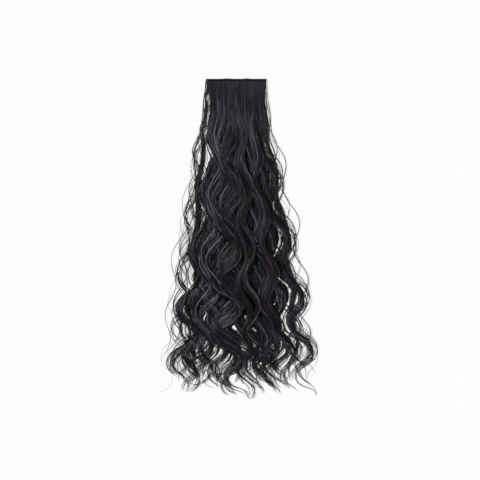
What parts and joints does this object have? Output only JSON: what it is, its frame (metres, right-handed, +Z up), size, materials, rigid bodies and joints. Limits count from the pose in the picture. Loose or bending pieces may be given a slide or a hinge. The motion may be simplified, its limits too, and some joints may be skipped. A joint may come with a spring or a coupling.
{
  "type": "clip-in hair extension",
  "caption": "Long wavy hair sewn along a short flat weft, with comb clips behind its roots that grip the wearer's own hair.",
  "frame": {"origin": "on the table, under the middle of the whole extension as it lies", "axes": "+X across the weft, to the right of someone who looks at its front; +Y from the tips towards the sewn edge; +Z up from the table, out of the hair's front"},
  "size_m": [0.2664, 0.557, 0.0245],
  "materials": {
    "weft": "folded black hair under black machine stitching, matte",
    "hair": "black hair with a cool cast and a few browner strands, satin",
    "ribbon": "black ribbed ribbon, matte",
    "clip": "black lacquered spring steel, half gloss"
  },
  "bodies": {
    "root": {"weft_track": "weft", "hair_locks": "hair", "backing_ribbon": "ribbon", "clip_left": "clip", "clip_right": "clip"}
  },
  "joints": []
}
